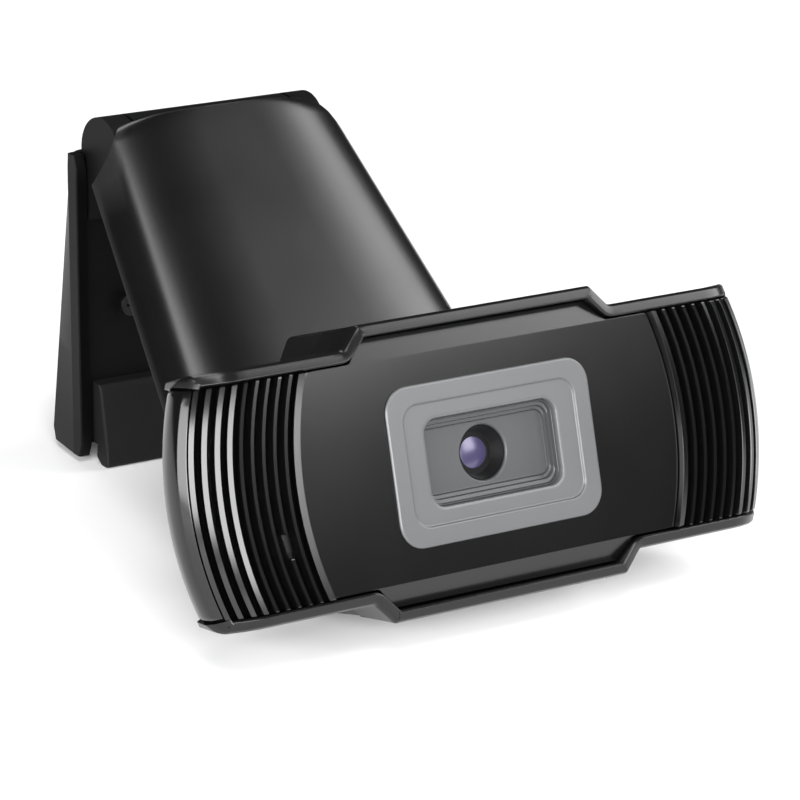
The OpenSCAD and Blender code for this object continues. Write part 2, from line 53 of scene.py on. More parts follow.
MM = 0.001
LEAN = math.radians(20)
SLOPE = math.radians(39.5)
tilt_at = Vector(joints["head_tilt"]["pos_m"])
hinge_at = Vector(joints["clip_hinge"]["pos_m"])
SCALE = Matrix.Scale(MM, 4)
HEAD = Matrix.Translation(tilt_at) @ Matrix.Rotation(-LEAN, 4, "X") @ SCALE @ Matrix.Translation((0, -20, -6.5))
ARM = Matrix.Translation(hinge_at) @ Matrix.Rotation(SLOPE, 4, "X") @ SCALE
LEG = Matrix.Translation(hinge_at) @ SCALE


# ---- materials ----


def add_node(tree, kind, **values):
    n = tree.nodes.new(kind)
    for key, v in values.items():
        if key in n.inputs:
            n.inputs[key].default_value = v
        else:
            setattr(n, key, v)
    return n


def surface(name, color, rough, vary=0.06, grain=0.0, grain_scale=9000, metallic=0.0, spec=0.5, wear=0.0):
    """A procedural finish: roughness that varies, a moulded or brushed grain, and lighter worn edges."""
    m = bpy.data.materials.new(name)
    m.use_nodes = True
    t = m.node_tree
    b = t.nodes["Principled BSDF"]
    b.inputs["Base Color"].default_value = (*color, 1)
    b.inputs["Metallic"].default_value = metallic
    b.inputs["Specular IOR Level"].default_value = spec
    place = add_node(t, "ShaderNodeTexCoord")
    cloud = add_node(t, "ShaderNodeTexNoise", Scale=70.0, Detail=2.0)
    t.links.new(place.outputs["Object"], cloud.inputs["Vector"])
    spread = add_node(t, "ShaderNodeMapRange")
    spread.inputs["From Min"].default_value = 0.1
    spread.inputs["From Max"].default_value = 0.9
    spread.inputs["To Min"].default_value = max(0.02, rough - vary)
    spread.inputs["To Max"].default_value = rough + vary
    t.links.new(cloud.outputs["Fac"], spread.inputs["Value"])
    t.links.new(spread.outputs["Result"], b.inputs["Roughness"])
    if grain:
        fine = add_node(t, "ShaderNodeTexNoise", Scale=float(grain_scale), Detail=2.0)
        t.links.new(place.outputs["Object"], fine.inputs["Vector"])
        bump = add_node(t, "ShaderNodeBump", Strength=grain, Distance=0.00004)
        t.links.new(fine.outputs["Fac"], bump.inputs["Height"])
        t.links.new(bump.outputs["Normal"], b.inputs["Normal"])
    if wear:
        shape = add_node(t, "ShaderNodeNewGeometry")
        ramp = add_node(t, "ShaderNodeValToRGB")
        ramp.color_ramp.elements[0].position = 0.52
        ramp.color_ramp.elements[1].position = 0.62
        lighter = [min(1, c + wear) for c in color]
        mix = add_node(t, "ShaderNodeMix", data_type="RGBA")
        mix.inputs["A"].default_value = (*color, 1)
        mix.inputs["B"].default_value = (*lighter, 1)
        t.links.new(shape.outputs["Pointiness"], ramp.inputs["Fac"])
        t.links.new(ramp.outputs["Color"], mix.inputs["Factor"])
        t.links.new(mix.outputs["Result"], b.inputs["Base Color"])
    return m


FINISH = {
    "rim_plastic": surface("rim_plastic", (0.003, 0.003, 0.0033), 0.24, 0.06, 0.05, 5000, spec=0.34, wear=0.005),
    "panel_gloss": surface("panel_gloss", (0.001, 0.001, 0.0011), 0.2, 0.02, 0.01, 1500),
    "rib_plastic": surface("rib_plastic", (0.002, 0.002, 0.0022), 0.16, 0.04, 0.02, 4000),
    "bezel_grey": surface("bezel_grey", (0.074, 0.076, 0.079), 0.34, 0.06, 0.12, 7000, metallic=0.25),
    "tray_grey": surface("tray_grey", (0.036, 0.037, 0.039), 0.4, 0.06, 0.12, 7000, metallic=0.2),
    "lens_black": surface("lens_black", (0.002, 0.002, 0.0024), 0.45, 0.08, 0.1, 6000, spec=0.15),
    "sensor_chip": surface("sensor_chip", (0.05, 0.07, 0.09), 0.12, 0.03),
    "board_green": surface("board_green", (0.02, 0.12, 0.05), 0.35, 0.08, 0.1, 3000),
    "chip_black": surface("chip_black", (0.015, 0.015, 0.016), 0.5, 0.08, 0.15, 6000),
    "header_white": surface("header_white", (0.75, 0.72, 0.63), 0.45, 0.06, 0.1, 5000),
    "capsule_metal": surface("capsule_metal", (0.6, 0.61, 0.63), 0.3, 0.06, 0.05, 4000, metallic=1.0),
    "screw_steel": surface("screw_steel", (0.06, 0.061, 0.064), 0.36, 0.08, 0.1, 5000, metallic=1.0),
    "screw_black": surface("screw_black", (0.02, 0.02, 0.022), 0.36, 0.08, 0.1, 5000, metallic=0.5),
    "case_plastic": surface("case_plastic", (0.004, 0.004, 0.0044), 0.3, 0.06, 0.12, 5200, wear=0.005),
    "rubber": surface("rubber", (0.004, 0.004, 0.0042), 0.62, 0.1, 0.35, 4200, spec=0.2),
    "arm_plastic": surface("arm_plastic", (0.0015, 0.0015, 0.0016), 0.25, 0.04, 0.06, 5200, wear=0.008),
    "liner_plastic": surface("liner_plastic", (0.002, 0.002, 0.0022), 0.5, 0.08, 0.3, 5200, spec=0.12),
    "leg_plastic": surface("leg_plastic", (0.0015, 0.0015, 0.0016), 0.3, 0.06, 0.06, 5200, spec=0.08, wear=0.004),
    "pin_steel": surface("pin_steel", (0.5, 0.51, 0.52), 0.24, 0.06, 0.05, 4000, metallic=1.0),
}


def lens_coating(name, color, sheen):
    """Dark coated glass: a coloured reflection over a dark, tinted base colour."""
    m = surface(name, color, 0.22, 0.04, 0.004, 900)
    b = m.node_tree.nodes["Principled BSDF"]
    b.inputs["Specular Tint"].default_value = (*sheen, 1)
    b.inputs["Specular IOR Level"].default_value = 0.9
    return m


# the lens glass's lavender base colour is painted reflection: it stands in for the lit coating's lavender glow, on top
# of the real tinted reflection that Specular Tint gives
FINISH["lens_glass"] = lens_coating("lens_glass", (0.03, 0.026, 0.062), (0.85, 0.8, 1.0))
FINISH["filter_glass"] = lens_coating("filter_glass", (0.03, 0.05, 0.07), (0.5, 0.9, 1.0))


# ---- mesh helpers ----


def piece(name, verts, faces, where, nodes, sharp=35):
    """A detailed mesh in place of CAD nodes, in the frame `where`; edges past `sharp` degrees stay sharp."""
    mesh = bpy.data.meshes.new(name)
    mesh.from_pydata([where @ Vector(v) for v in verts], [], faces)
    bm = bmesh.new()
    bm.from_mesh(mesh)
    bmesh.ops.remove_doubles(bm, verts=bm.verts, dist=1e-7)
    bmesh.ops.dissolve_degenerate(bm, dist=1e-7, edges=bm.edges)
    bmesh.ops.recalc_face_normals(bm, faces=bm.faces)
    bm.to_mesh(mesh)
    bm.free()
    for p in mesh.polygons:
        p.use_smooth = True
    mesh.set_sharp_from_angle(angle=math.radians(sharp))
    obj = bpy.data.objects.new(name, mesh)
    bpy.context.scene.collection.objects.link(obj)
    slot_name = slots[nodes[0]]
    mesh.materials.append(FINISH[slot_name])
    obj.modifiers.new("normals", "WEIGHTED_NORMAL").keep_sharp = True
    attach(obj, body_of_node[nodes[0]])
    return obj


def add_bevel(obj, width):
    """Rounds a piece's sharp edges; width in millimetres."""
    b = obj.modifiers.new("bevel", "BEVEL")
    b.width = width * MM
    b.segments = 2
    b.limit_method = "ANGLE"
    b.angle_limit = math.radians(40)
    b.harden_normals = True
    b.use_clamp_overlap = True
    obj.modifiers.new("normals", "WEIGHTED_NORMAL").keep_sharp = True


def cut(obj, tool_name, verts, faces, where):
    """Cuts a closed shape out of a piece."""
    mesh = bpy.data.meshes.new(tool_name)
    mesh.from_pydata([where @ Vector(v) for v in verts], [], faces)
    bm = bmesh.new()
    bm.from_mesh(mesh)
    bmesh.ops.recalc_face_normals(bm, faces=bm.faces)
    bm.to_mesh(mesh)
    bm.free()
    tool = bpy.data.objects.new(tool_name, mesh)
    bpy.context.scene.collection.objects.link(tool)
    m = obj.modifiers.new(tool_name, "BOOLEAN")
    m.object = tool
    m.solver = "EXACT"
    while obj.modifiers[0] != m:
        with bpy.context.temp_override(object=obj):
            bpy.ops.object.modifier_move_to_index(modifier=m.name, index=0)
    dg = bpy.context.evaluated_depsgraph_get()
    others = [x for x in obj.modifiers if x != m]
    for x in others:
        x.show_viewport = False
    dg.update()
    new = bpy.data.meshes.new_from_object(obj.evaluated_get(dg))
    obj.modifiers.remove(m)
    for x in others:
        x.show_viewport = True
    old_parent = obj.matrix_world.copy()
    obj.data = new
    obj.matrix_world = old_parent
    bpy.data.objects.remove(tool)


def grid_faces(rows, cols, closed=True, base=0):
    """Quads between loops of points laid one after another."""
    out = []
    for r in range(rows - 1):
        for c in range(cols if closed else cols - 1):
            d = (c + 1) % cols
            out.append((base + r * cols + c, base + r * cols + d, base + (r + 1) * cols + d, base + (r + 1) * cols + c))
    return out


def loft(loops, first_cap=True, last_cap=True):
    verts = [p for loop in loops for p in loop]
    n = len(loops[0])
    faces = grid_faces(len(loops), n)
    if first_cap:
        faces.append(tuple(range(n))[::-1])
    if last_cap:
        faces.append(tuple(range(len(verts) - n, len(verts))))
    return verts, faces


def arc(cx, cy, r, a0, a1, n):
    """Points on an arc, angles in degrees."""
    return [
        (cx + r * math.cos(math.radians(a0 + (a1 - a0) * i / n)), cy + r * math.sin(math.radians(a0 + (a1 - a0) * i / n)))
        for i in range(n + 1)
    ]


def rounded_rect(w, h, r, n=10):
    """Counter-clockwise loop of a rounded rectangle in X and Z, 4 * (n + 1) points."""
    out = []
    for sx, sz, a in ((1, 1, 0), (-1, 1, 90), (-1, -1, 180), (1, -1, 270)):
        out += arc(sx * (w / 2 - r), sz * (h / 2 - r), r, a, a + 90, n)
    return out


def fillet(points, radii, n=5):
    """Rounds the corners of a closed outline."""
    out = []
    count = len(points)
    for i in range(count):
        p = Vector(points[i])
        if radii[i] <= 0:
            out.append(tuple(p))
            continue
        a = Vector(points[i - 1]) - p
        b = Vector(points[(i + 1) % count]) - p
        half = a.angle(b) / 2
        run = min(radii[i] / math.tan(half), a.length * 0.49, b.length * 0.49)
        r = run * math.tan(half)
        start, end = p + a.normalized() * run, p + b.normalized() * run
        centre = p + (a.normalized() + b.normalized()).normalized() * (r / math.sin(half))
        v0, v1 = start - centre, end - centre
        turn = v0.angle_signed(v1)
        for k in range(n + 1):
            v = v0.copy()
            v.rotate(Matrix.Rotation(-turn * k / n, 2))
            out.append(tuple(centre + v))
    return out


def at_depth(loop, y):
    """A loop of X and Z points at one depth, or at a depth for each point."""
    return [(x, y(x, z) if callable(y) else y, z) for x, z in loop]


def flat_fill(outer, holes, y, extra=()):
    """Triangles between an outline and its holes; y(x, z) is the depth, extra are crease lines."""
    points, edges = [], []
    for loop in [outer] + list(holes):
        start = len(points)
        points += [Vector(p) for p in loop]
        edges += [(start + i, start + (i + 1) % len(loop)) for i in range(len(loop))]
    for a, b in extra:
        points += [Vector(a), Vector(b)]
        edges.append((len(points) - 2, len(points) - 1))
    verts, _, faces, _, _, _ = delaunay_2d_cdt(points, edges, [], 1, 1e-5)

    def inside(p, loop):
        hit = False
        for i in range(len(loop)):
            (x0, z0), (x1, z1) = loop[i - 1], loop[i]
            if (z0 > p[1]) != (z1 > p[1]) and p[0] < (x1 - x0) * (p[1] - z0) / (z1 - z0) + x0:
                hit = not hit
        return hit

    keep = []
    for f in faces:
        c = sum((verts[i] for i in f), Vector((0, 0))) / len(f)
        if inside(c, outer) and not any(inside(c, h) for h in holes):
            keep.append(tuple(f))
    return [(v[0], y(v[0], v[1]), v[1]) for v in verts], keep


def ring_loft(loops):
    """A loft whose last loop is joined back to its first."""
    v, f = loft(loops, False, False)
    n = len(loops[0])
    last = len(v) - n
    return v, f + [(i, (i + 1) % n, last + (i + 1) % n, last + i) for i in range(n)]


def join(*parts):
    verts, faces = [], []
    for v, f in parts:
        base = len(verts)
        verts += v
        faces += [tuple(base + i for i in face) for face in f]
    return verts, faces


def mirrored(part):
    v, f = part
    return [(-x, y, z) for x, y, z in v], [tuple(reversed(q)) for q in f]


# ---- outline of the head, as its CAD module draws it ----

HEAD_W, SHOULDER_H, TAB_H, HEAD_D = 80.0, 28.2, 33.2, 16.0
END_R, RIM_T, SEAM_Y, PLAN_R = 36.0, 1.4, 8.0, 5.0
SHOULDER_X, TAB_X, CORNER_SHIFT = 18.45, 16.1, 0.43
END_X = HEAD_W / 2 - 2.4


def four_way(quarter):
    """A closed outline from its upper right quarter, whose rows are a point and a corner radius."""
    top = quarter + [((-x, z), r) for (x, z), r in reversed(quarter)]
    low = quarter[1:]
    ring = top + [((-x, -z), r) for (x, z), r in low] + [((x, -z), r) for (x, z), r in reversed(low)]
    return fillet([p for p, _ in ring], [r for _, r in ring])


def end_point(t, z, less=0.0):
    """Where the arc of the head's end stands at height z, inset by t and moved in by less."""
    return HEAD_W / 2 - END_R - less + math.sqrt((END_R - t) ** 2 - z * z)


def head_outline(t, tab_t=None, less=0.0, soft=0.5, corner=0.9, steps=14):
    """Closed outline, inset by t at the shoulders and tab_t at the tabs."""
    tab_t = t if tab_t is None else tab_t
    sx, tx = SHOULDER_X - CORNER_SHIFT * t, TAB_X - CORNER_SHIFT * tab_t
    sz, tz = SHOULDER_H / 2 - t, TAB_H / 2 - tab_t
    quarter = []
    for i in range(steps + 1):
        z = sz * math.sin(i / steps * math.pi / 2)
        quarter.append(((end_point(t, z, less), z), corner if i == steps else 0))
    quarter += [((sx, sz), soft * 1.5), ((tx, tz), soft)]
    return four_way(quarter)


def plan_depth(x):
    """How far the front surface has turned back at x."""
    over = min(abs(x) - (END_X - PLAN_R), PLAN_R)
    return PLAN_R - math.sqrt(PLAN_R**2 - over**2) if over > 0 else 0.0


# ---- head: rim ----


def rim_band(side):
    """Top or bottom band of the rim; side is 1 or -1."""
    pts, corners = [], []
    for sx in (1, -1):
        top = SHOULDER_H / 2
        row = [(end_point(0, 13.0), 13.0), (end_point(0, top), top), (33.5, top), (SHOULDER_X, top), (TAB_X, TAB_H / 2)]
        radii = [0, 0.9, 0, 0.8, 0.5]
        if sx < 0:
            row, radii = [(-x, z) for x, z in reversed(row)], radii[::-1]
        pts += row
        corners += radii
    # rounded as an open path: the closing edge runs far below
    path = fillet([(60, -40)] + pts + [(-60, -40)], [0] + corners + [0], 6)[1:-1]
    dense = []
    for a, b in zip(path, path[1:]):
        steps = max(1, int((Vector(b) - Vector(a)).length / 1.2))
        dense += [tuple(Vector(a).lerp(Vector(b), i / steps)) for i in range(steps)]
    dense.append(path[-1])
    loops = []
    for i, p in enumerate(dense):
        a = Vector(dense[max(0, i - 1)])
        b = Vector(dense[min(len(dense) - 1, i + 1)])
        along = (b - a).normalized()
        inward = Vector((-along[1], along[0]))
        # a mitred end that follows the arc of the ribs
        loop = []
        for t, d in PROFILE:
            q = Vector(p) + inward * t
            front = plan_depth(q[0])
            y = SEAM_Y if d is None else min(front + d, SEAM_Y - 0.1)
            loop.append((q[0], y, q[1] * side))
        loops.append(loop)
    return loft(loops)


# the rim's cross-section: how far in, and how far behind the front (None is the seam)
PROFILE = [
    (0.62, None), (0.14, 2.4), (0.04, 1.4), (0, 0.95), (0.02, 0.86), (0.23, 0.42), (0.29, 0.36), (0.7, 0.205),
    (1.12, 0.05), (1.18, 0.04), (1.22, 0.06), (RIM_T, 0.3), (RIM_T, 1.2), (RIM_T, 3.2), (RIM_T, None),
]
CHASSIS_HALF, CHASSIS_FRONT, CHASSIS_BACK = 34, 2.5, 3.7

rim = piece("rim", *join(rim_band(1), rim_band(-1)), HEAD, ["front_frame"])
chassis_loop = head_outline(RIM_T + 0.3, corner=1.5)
chassis_loop = [(max(-CHASSIS_HALF, min(CHASSIS_HALF, x)), z) for x, z in chassis_loop]
chassis_hole = rounded_rect(23, 15, 0.5, 3)
front_fill = flat_fill(chassis_loop, [chassis_hole], lambda x, z: CHASSIS_FRONT)
back_fill = flat_fill(chassis_loop, [chassis_hole], lambda x, z: CHASSIS_BACK)
walls, hole_walls = (
    loft([at_depth(loop, CHASSIS_FRONT), at_depth(loop, CHASSIS_BACK)], False, False) for loop in (chassis_loop, chassis_hole)
)
piece("chassis", *join(front_fill, back_fill, walls, hole_walls), HEAD, ["front_frame"])
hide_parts("front_frame")

# ---- head: glossy panel ----

PANEL_Y, FACET_Z, FACET_DROP, PANEL_EDGE = 0.6, 12.4, 0.9, 25.8
PANEL_END_Z = TAB_H / 2 - RIM_T - 0.2


def panel_y(x, z):
    over = max(0.0, abs(z) - FACET_Z)
    return PANEL_Y + FACET_DROP * over / (PANEL_END_Z - FACET_Z)


def panel_outline(inset):
    t = RIM_T + 0.2 + inset
    sz, tz = SHOULDER_H / 2 - t, TAB_H / 2 - t
    heights = [sz * i / 16 for i in range(17)]
    quarter = [((PANEL_EDGE - END_R + math.sqrt((END_R - inset) ** 2 - z * z), z), 0) for z in heights]
    quarter[-1] = (quarter[-1][0], 0.5)
    quarter += [((SHOULDER_X - CORNER_SHIFT * t, sz), 0.8), ((TAB_X - CORNER_SHIFT * t, tz), 0.4)]
    return four_way(quarter)


bezel_seat = rounded_rect(26.6, 16.7, 2.3)
rounds = [(0.0, 1.6), (0.0, 0.16), (0.02, 0.05), (0.06, 0.01), (0.12, 0.0)]
panel_loops = [at_depth(panel_outline(i), lambda x, z, d=d: panel_y(x, z) + d) for i, d in rounds]
last_loop = [(x, z) for x, _, z in panel_loops[-1]]
CREASE_HALF = 18.0
crease = [((-CREASE_HALF, s * FACET_Z), (CREASE_HALF, s * FACET_Z)) for s in (-1, 1)]
face = flat_fill(last_loop, [bezel_seat], panel_y, crease)
seat_wall = loft([at_depth(bezel_seat, PANEL_Y), at_depth(bezel_seat, 2.2)], False, False)
panel_back = flat_fill(panel_outline(0), [bezel_seat], lambda x, z: panel_y(x, z) + 1.6)
panel_parts = join(loft(panel_loops, False, False), face, seat_wall, panel_back)
panel = piece("panel", *panel_parts, HEAD, ["face_panel"], sharp=9)
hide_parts("face_panel")

# ---- head: ribbed ends ----

RIBS, PITCH, RIB_DEPTH, RIB_FLOOR = 11, 1.45, 2.4, 1.1
RIB_FIRST = PANEL_EDGE + 0.7
RIB_HALF_H = SHOULDER_H / 2 - RIM_T - 0.1
MIC_RIB, MIC_Z, MIC_HALF = 2, -5.8, 1.3
SIDE_PLAN = (  # the outer rib in plan: its rounded front edge, then back to the seam
    (38.9, 4.6), (38.92, 2.9), (38.96, 2.72), (39.03, 2.62), (39.11, 2.6), (39.19, 2.66), (39.72, 3.4),
    (39.82, 3.6), (39.89, 3.82), (39.95, 4.1), (39.99, 4.5), (40.0, 5.0), (39.93, 5.6), (39.7, 6.5),
    (39.35, 7.2), (39.0, 7.7), (38.85, 7.9), (38.6, SEAM_Y), (37.6, SEAM_Y), (38.46, 5.39),
)


def rib_place(k):
    """Crest of rib k in plan, and the angle by which the head's front has turned there."""
    s = RIB_FIRST + k * PITCH
    flat_end = HEAD_W / 2 - PLAN_R
    if s < flat_end:
        return s, 0.0, 0.0
    a = (s - flat_end) / PLAN_R
    return flat_end + PLAN_R * math.sin(a), PLAN_R * (1 - math.cos(a)), a


def bow(z):
    return math.sqrt(END_R**2 - z * z) - END_R


def rib(k, half_w, low=-RIB_HALF_H, high=RIB_HALF_H):
    """One rib: a bar with a flat crest and rounded tips that follows the curve of the end."""
    x0, y0, _ = rib_place(k)
    # the crests face further outward than the head's front does
    a = math.radians(13 if k == 0 else max(0, k - 4) * 8.4)
    out, side = Vector((math.sin(a), -math.cos(a))), Vector((math.cos(a), math.sin(a)))
    section = [(-half_w, -RIB_DEPTH), (-half_w, -0.14), (-half_w + 0.04, 0.0)]
    section += [(-u, v) for u, v in reversed(section)]
    loops = []
    steps = 56
    for i in range(steps + 1):
        z = (low + high) / 2 - (high - low) / 2 * math.cos(math.pi * i / steps)
        left = min(z - low, high - z)
        r = 0.15
        tip = 1.0 if left > r else math.sqrt(max(0.02, 1 - ((r - left) / r) ** 2))
        sink = (1 - tip) * half_w * 1.4
        loop = []
        for u, v in section:
            p = Vector((x0, y0)) + side * u * tip + out * (v if v == -RIB_DEPTH else v - sink)
            loop.append((p[0] + bow(z), p[1], z))
        loops.append(loop)
    return loft(loops)


def grille(notch):
    parts = []
    for k in range(RIBS - 1):
        wide = 0.42 if k == 0 else 0.25 if k < 6 else 0.33
        if notch and k == MIC_RIB:
            parts += [rib(k, wide, high=MIC_Z - MIC_HALF), rib(k, wide, low=MIC_Z + MIC_HALF)]
        else:
            parts.append(rib(k, wide))
    # the floor between the ribs
    zs = [RIB_HALF_H * (i / 24 - 0.5) * 2 for i in range(25)]
    plan = []
    for quarter in range((RIBS - 1) * 4 + 1):
        x, y, a = rib_place(quarter / 4)
        deep = RIB_FLOOR + (0.0, 0.55, 0.95, 0.55)[quarter % 4]
        plan.append((x - deep * math.sin(a), y + deep * math.cos(a)))
    front = [[(x + bow(z), y, z) for x, y in plan] for z in zs]
    cols = len(plan)
    v = [p for r in front for p in r]
    f = grid_faces(len(zs), cols, False)
    parts.append((v, f))
    # the wide outer rib is the side of the head
    loops = []
    for i in range(41):
        z = -RIB_HALF_H * math.cos(math.pi * i / 40)
        left = RIB_HALF_H - abs(z)
        sink = 0.4 * (1 - math.sqrt(max(0.0, 1 - ((0.5 - left) / 0.5) ** 2))) if left < 0.5 else 0.0
        loops.append([(px + bow(z) - sink, py + (sink if py < 4 else 0), z) for px, py in SIDE_PLAN])
    parts.append(loft(loops))
    return join(*parts)


right_ribs = piece("ribs_right", *grille(False), HEAD, ["rib_grille_right"], sharp=20)
left_ribs = piece("ribs_left", *mirrored(grille(True)), HEAD, ["rib_grille_left"], sharp=20)
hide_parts("rib_grille_right")
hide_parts("rib_grille_left")

# ---- head: bezel, tray and lens ----

BEZEL_W, BEZEL_H, WINDOW_W, WINDOW_H = 28.0, 18.1, 18.0, 9.8


def rings(rows, n=10):
    """Loops of rounded rectangles; each row is width, height, radius and depth."""
    return [at_depth(rounded_rect(w, h, r, n), y) for w, h, r, y in rows]


bezel_rows = [(26.5, 16.6, 2.2, 2.35), (26.5, 16.6, 2.2, 0.62), (BEZEL_W - 0.1, BEZEL_H - 0.1, 2.95, 0.6)]
ROUND = 0.22  # radius of the bezel's outer edge
for q in (0, 30, 60, 90):
    c, s = math.cos(math.radians(q)), math.sin(math.radians(q))
    less = 2 * ROUND - 2 * ROUND * c
    bezel_rows.append((BEZEL_W - less, BEZEL_H - less, 3 - ROUND * (1 - c), 0.3 + ROUND * (1 - s)))
step_w, step_h = BEZEL_W - 4.4, BEZEL_H - 4.4
bezel_rows += [
    (BEZEL_W - 0.6, BEZEL_H - 0.6, 2.7, 0.3), (step_w + 0.4, step_h + 0.4, 2.2, 0.3),
    (step_w + 0.2, step_h + 0.2, 2.1, 0.3), (step_w + 0.1, step_h + 0.1, 2.06, 0.34), (step_w, step_h, 2.0, 0.42),
    (step_w - 0.1, step_h - 0.1, 1.96, 0.54), (step_w - 0.22, step_h - 0.22, 1.92, 0.58),
    (step_w - 0.4, step_h - 0.4, 1.9, 0.58), (WINDOW_W + 0.9, WINDOW_H + 0.9, 1.95, 0.58),
    (WINDOW_W + 0.6, WINDOW_H + 0.6, 1.9, 0.58), (WINDOW_W + 0.25, WINDOW_H + 0.25, 1.8, 0.64),
    (WINDOW_W + 0.06, WINDOW_H + 0.06, 1.72, 0.8), (WINDOW_W, WINDOW_H, 1.7, 1.0), (WINDOW_W, WINDOW_H, 1.7, 2.35),
]
bezel = piece("bezel", *ring_loft(rings(bezel_rows)), HEAD, ["lens_bezel"], sharp=40)
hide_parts("lens_bezel")


def circle_loop(r, n=44):
    """A circle whose points stand opposite those of rounded_rect."""
    out = []
    for a in (0, 90, 180, 270):
        out += arc(0, 0, r, a + 4, a + 86, n // 4 - 1)
    return out


# the tray's flange, its two ledges and its floor: how much smaller than the window, corner radius and depth
tray_rows = [(WINDOW_W - less_w, WINDOW_H - less_h, r, y) for less_w, less_h, r, y in (
    (-3, -3, 2, 3.6), (-3, -3, 2, 2.4), (0.02, 0.02, 1.7, 2.4), (0.04, 0.04, 1.7, 1.3), (0.15, 0.2, 1.65, 1.22),
    (0.25, 0.3, 1.6, 1.25), (0.35, 0.45, 1.55, 1.45), (0.4, 0.55, 1.5, 1.75), (0.5, 1.3, 1.45, 1.84),
    (0.55, 1.42, 1.4, 1.92), (0.65, 1.55, 1.35, 2.32), (0.75, 2.2, 1.3, 2.42), (0.8, 2.3, 1.25, 2.48),
    (0.9, 2.42, 1.2, 2.72), (1.0, 2.55, 1.15, 2.79), (1.15, 2.7, 1.1, 2.8),
)]
loops = rings(tray_rows)
for r, y in ((3.4, 2.8), (3.32, 2.8), (3.28, 2.81), (3.22, 2.86), (3.13, 2.98), (3.1, 3.1), (3.1, 3.6)):
    loops.append(at_depth(circle_loop(r), y))
tray = piece("tray", *ring_loft(loops), HEAD, ["lens_tray"])
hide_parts("lens_tray")


def turned(profile, n=64):
    """Loops round the lens axis; profile is radius and depth."""
    angles = [2 * math.pi * i / n for i in range(n)]
    return [[(r * math.cos(a), y, r * math.sin(a)) for a in angles] for r, y in profile]


barrel_profile = [
    (3.8, 9.6), (3.88, 9.5), (3.9, 9.3), (3.9, 3.85), (3.85, 3.74), (3.75, 3.7), (3.08, 3.69), (3.08, 3.08),
    (3.03, 3.04), (3.0, 3.1),
]
for i in range(12):  # stepped baffle rings towards the glass
    r = 3.0 - i * 0.05
    barrel_profile += [(r, 3.2 + i * 0.14), (r - 0.04, 3.2 + i * 0.14 + 0.02)]
# the ring before the glass, the glass seat and the bore behind it
barrel_profile += [
    (2.35, 4.76), (1.84, 4.76), (1.79, 4.79), (1.84, 4.82), (2.35, 4.93), (2.3, 5.0), (2.3, 5.3), (3.0, 5.3),
    (3.0, 9.6), barrel_profile[0],
]
barrel = piece("lens_tube", *loft(turned(barrel_profile), False, False), HEAD, ["lens_barrel"], sharp=30)
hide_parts("lens_barrel")

GLASS_Y, GLASS_R = 4.62, 7.5
dome = [(0.02, GLASS_Y)]
dome += [(r, GLASS_Y + GLASS_R - math.sqrt(GLASS_R**2 - r * r)) for r in (0.4, 0.8, 1.2, 1.6, 1.9, 2.15, 2.28)]
dome += [(2.28, 5.6), (0.02, 5.6)]
front_glass = piece("front_glass", *loft(turned(dome)), HEAD, ["front_lens"], sharp=50)
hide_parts("front_lens")

# ---- head: rear shell ----

shell_rows = []
# depth, inset at the shoulders, at the tabs and at the ends
for y, t, tab_t, less in (
    (8.1, 1.9, 1.9, 0.6), (8.1, 0.95, 0.85, 0.7), (8.18, 0.82, 0.72, 0.7), (8.35, 0.78, 0.68, 0.75),
    (9.6, 0.9, 0.72, 1.35), (11.0, 1.0, 0.76, 2.2), (12.6, 1.12, 0.8, 3.1), (14.0, 1.25, 0.84, 4.0),
    (14.6, 1.4, 0.88, 4.3), (15.1, 1.62, 0.95, 4.6), (15.5, 1.9, 1.1, 4.85), (15.8, 2.25, 1.4, 5.0),
    (15.95, 2.65, 1.8, 5.15), (HEAD_D, 3.1, 2.4, 5.2),
):
    shell_rows.append(at_depth(head_outline(t, tab_t, less, corner=1.2 + 0.2 * (y - 8)), y))
cap_loop = [(x, z) for x, _, z in shell_rows[-1]]
screw_x, screw_z, gland_x, gland_z = 25.5, 9.6, 25, -3
screw_holes = [
    [(sx * screw_x + x, sz * screw_z + z) for x, z in circle_loop(2.0, 32)] for sx in (-1, 1) for sz in (-1, 1)
]
gland_hole = [(gland_x + x, gland_z + z) for x, z in circle_loop(2.6, 32)]
back_cap = flat_fill(cap_loop, screw_holes + [gland_hole], lambda x, z: HEAD_D)
wells = [loft([at_depth(h, HEAD_D), at_depth(h, 13.8)], False, True) for h in screw_holes]
wells.append(loft([at_depth(gland_hole, HEAD_D), at_depth(gland_hole, 14.6)], False, True))
back = piece("back_case", *join(loft(shell_rows, False, False), back_cap, *wells), HEAD, ["rear_shell"], sharp=30)
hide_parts("rear_shell")

# ---- arm ----

HALF_W, TAPER, ARM_TOP, ARM_FOOT, ARM_END, ARM_LEN, FLARE = 16.5, 0.125, 6.2, 0.7, 0.9, 50.5, 1.2


def arm_half(y):
    return HALF_W - y * TAPER + FLARE


SHOULDER = (  # the arch at the arm's side: how far in, and how high
    (0.0, 0.7), (0.02, 0.82), (0.2, 1.6), (0.4, 2.2), (0.7, 2.85), (1.05, 3.4), (1.5, 3.95), (2.05, 4.44),
    (2.7, 4.86), (3.5, 5.22), (4.5, 5.54), (5.7, 5.81), (7.0, 6.0), (8.4, 6.11), (9.8, 6.17), (11.0, 6.19),
    (12.0, 6.2),
)


def arm_section(y, t):
    """Half of the arch across the arm, inset from the side and height; the shoulders widen towards the front."""
    spread = 1.15 + 0.25 * min(1.0, max(0.0, -y / 45))
    return [(i * spread + t, z if z <= ARM_FOOT else max(ARM_FOOT, z - t)) for i, z in SHOULDER]


def arm_loop(y, half, t):
    """Closed cross-section: the outer arch, then the inner one back."""
    outer = arm_section(y, 0.0)
    inner = arm_section(y, t)
    right = [(half - i, z) for i, z in outer]
    left = [(i - half, z) for i, z in reversed(outer)]
    loop = right + [(0.0, ARM_TOP)] + left
    back_left = [(i - half, z) for i, z in inner]
    back_right = [(half - i, z) for i, z in reversed(inner)]
    loop += back_left + [(0.0, ARM_TOP - t)] + back_right
    return [(x, y, z) for x, z in loop]


